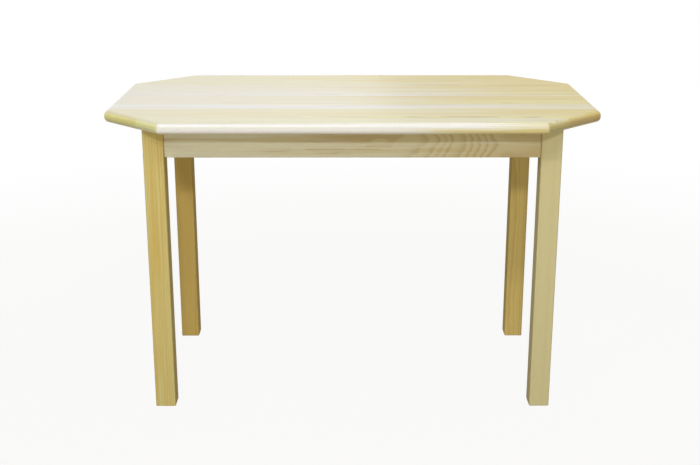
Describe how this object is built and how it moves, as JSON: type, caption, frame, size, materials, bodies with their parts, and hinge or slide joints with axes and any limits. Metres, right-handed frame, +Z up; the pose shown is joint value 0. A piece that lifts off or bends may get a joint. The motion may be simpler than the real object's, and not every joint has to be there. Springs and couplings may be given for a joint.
{
  "type": "dining table",
  "caption": "Oblong pine table with cut-off corners, a rounded edge, square legs and a set-back apron frame, for eating or working at.",
  "frame": {"origin": "middle of the table's outline, on the floor under it", "axes": "+X along the table's length, to the right as seen from the front; +Y from the front edge to the rear edge; +Z up"},
  "size_m": [1.2, 0.7, 0.75],
  "materials": {
    "top_pine": "edge-glued pine under a clear satin lacquer",
    "leg_pine": "straight-grained pine under a clear satin lacquer",
    "apron_pine": "flat-sawn pine under a clear satin lacquer",
    "plated_steel": "bright zinc plate"
  },
  "bodies": {
    "root": {"top_stave_1": "top_pine", "top_stave_2": "top_pine", "top_stave_3": "top_pine", "top_stave_4": "top_pine", "top_stave_5": "top_pine", "top_stave_6": "top_pine", "top_stave_7": "top_pine", "top_stave_8": "top_pine", "top_stave_9": "top_pine", "top_stave_10": "top_pine", "top_stave_11": "top_pine", "top_stave_12": "top_pine", "front_left_leg": "leg_pine", "front_right_leg": "leg_pine", "rear_left_leg": "leg_pine", "rear_right_leg": "leg_pine", "front_apron": "apron_pine", "rear_apron": "apron_pine", "left_apron": "apron_pine", "right_apron": "apron_pine", "front_left_corner_plate": "plated_steel", "front_right_corner_plate": "plated_steel", "rear_left_corner_plate": "plated_steel", "rear_right_corner_plate": "plated_steel", "hanger_bolts": "plated_steel", "bolt_washers": "plated_steel", "bolt_nuts": "plated_steel", "corner_plate_screws": "plated_steel", "top_brackets": "plated_steel", "top_bracket_screws": "plated_steel"}
  },
  "joints": []
}
